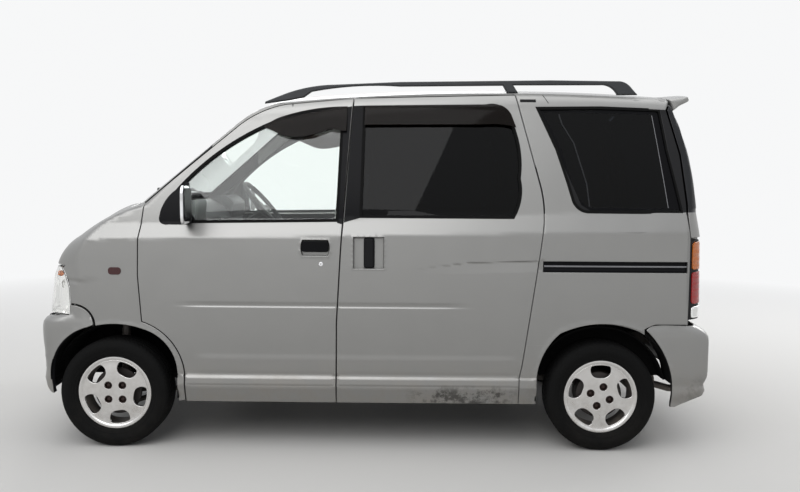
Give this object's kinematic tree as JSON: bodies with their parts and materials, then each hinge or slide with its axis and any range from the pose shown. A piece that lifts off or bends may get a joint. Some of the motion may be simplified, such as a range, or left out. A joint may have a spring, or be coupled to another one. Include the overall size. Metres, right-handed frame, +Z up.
{
  "type": "kei one-box van",
  "caption": "Tall one-box kei van with short nose, hinged front doors, sliding side doors, lifting tailgate, roof rails and disc wheels.",
  "frame": {"origin": "on the ground, midway between the bumpers and between the sides", "axes": "+X to the rear, +Y to the right side of the car, +Z up"},
  "size_m": [3.395, 1.736, 1.846],
  "materials": {
    "body_paint": "metallic silver lacquer",
    "trim_black": "matt",
    "rail_grey": "satin",
    "clear_glass": "clear",
    "tinted_glass": "dark tint",
    "lamp_glass": "clear",
    "lamp_red": "gloss",
    "mirror_chrome": "polished",
    "wheel_chrome": "polished",
    "tyre_rubber": "matt",
    "chassis_black": "matt",
    "iron": "rough",
    "seat_fabric": "woven",
    "dash_plastic": "grained"
  },
  "bodies": {
    "root": {"sliding_door_left": "body_paint", "sliding_door_right": "body_paint", "side_frame_left": "body_paint", "side_frame_right": "body_paint", "roof_panel": "body_paint", "front_fenders": "body_paint", "front_bumper": "body_paint", "rear_bumper": "body_paint", "windscreen": "clear_glass", "fixed_side_glass": "tinted_glass", "tail_lamps": "lamp_red", "rear_frame": "body_paint", "headlamps": "lamp_glass", "grille": "trim_black", "roof_rails": "rail_grey", "floor_pan": "chassis_black", "firewall": "chassis_black", "wheel_housings": "chassis_black", "chassis_rails": "chassis_black", "front_frame": "chassis_black", "radiator": "iron", "exhaust": "iron", "trailing_arms": "chassis_black", "rear_springs": "chassis_black", "dashboard": "dash_plastic", "front_seats": "seat_fabric", "rear_seat": "seat_fabric", "engine": "iron", "fuel_tank": "chassis_black", "rear_axle": "iron", "front_suspension": "iron"},
    "front_door_left": {"front_door_left": "body_paint", "door_glass_left": "clear_glass", "mirror_left": "mirror_chrome"},
    "front_door_right": {"front_door_right": "body_paint", "door_glass_right": "clear_glass", "mirror_right": "mirror_chrome"},
    "bonnet": {"bonnet": "body_paint"},
    "tailgate": {"tailgate": "body_paint", "tailgate_glass": "tinted_glass", "rear_spoiler": "body_paint"},
    "knuckle_left": {"knuckle_left": "iron"},
    "knuckle_right": {"knuckle_right": "iron"},
    "steering_wheel": {"steering_wheel": "dash_plastic"},
    "wheel_front_left": {"front_left_wheel": "wheel_chrome", "front_left_tyre": "tyre_rubber"},
    "wheel_front_right": {"front_right_wheel": "wheel_chrome", "front_right_tyre": "tyre_rubber"},
    "wheel_rear_left": {"rear_left_wheel": "wheel_chrome", "rear_left_tyre": "tyre_rubber"},
    "wheel_rear_right": {"rear_right_wheel": "wheel_chrome", "rear_right_tyre": "tyre_rubber"}
  },
  "joints": [
    {"name": "front_door_left_hinge", "type": "hinge", "parent": "root", "child": "front_door_left", "pos_m": [-1.151, -0.7375, 0.9], "axis": [0, 0, -1], "range_deg": [0, 65]},
    {"name": "front_door_right_hinge", "type": "hinge", "parent": "root", "child": "front_door_right", "pos_m": [-1.151, 0.7375, 0.9], "axis": [0, 0, 1], "range_deg": [0, 65]},
    {"name": "bonnet_hinge", "type": "hinge", "parent": "root", "child": "bonnet", "pos_m": [-1.222, 0, 1.236], "axis": [0, 1, 0], "range_deg": [0, 60]},
    {"name": "tailgate_hinge", "type": "hinge", "parent": "root", "child": "tailgate", "pos_m": [1.478, 0, 1.806], "axis": [0, -1, 0], "range_deg": [0, 85]},
    {"name": "steer_left", "type": "hinge", "parent": "root", "child": "knuckle_left", "pos_m": [-1.2825, -0.617, 0.165], "axis": [0, 0.1609, 0.987], "range_deg": [-35, 35]},
    {"name": "steer_right", "type": "hinge", "parent": "root", "child": "knuckle_right", "pos_m": [-1.2825, 0.617, 0.165], "axis": [0, -0.1609, 0.987], "range_deg": [-35, 35]},
    {"name": "steering_wheel_turn", "type": "hinge", "parent": "root", "child": "steering_wheel", "pos_m": [-0.718, 0.35, 1.172], "axis": [0.765, 0, 0.644], "range_deg": [-560, 560]},
    {"name": "front_left_spin", "type": "hinge", "parent": "knuckle_left", "child": "wheel_front_left", "pos_m": [-1.2825, -0.6525, 0.2725], "axis": [0, 1, 0], "continuous": true},
    {"name": "front_right_spin", "type": "hinge", "parent": "knuckle_right", "child": "wheel_front_right", "pos_m": [-1.2825, 0.6525, 0.2725], "axis": [0, 1, 0], "continuous": true},
    {"name": "rear_left_spin", "type": "hinge", "parent": "root", "child": "wheel_rear_left", "pos_m": [1.1375, -0.65, 0.2725], "axis": [0, 1, 0], "continuous": true},
    {"name": "rear_right_spin", "type": "hinge", "parent": "root", "child": "wheel_rear_right", "pos_m": [1.1375, 0.65, 0.2725], "axis": [0, 1, 0], "continuous": true}
  ],
  "couplings": [
    {"joint": "steer_right", "follows": "steer_left", "ratio": 1},
    {"joint": "steering_wheel_turn", "follows": "steer_left", "ratio": 16}
  ]
}
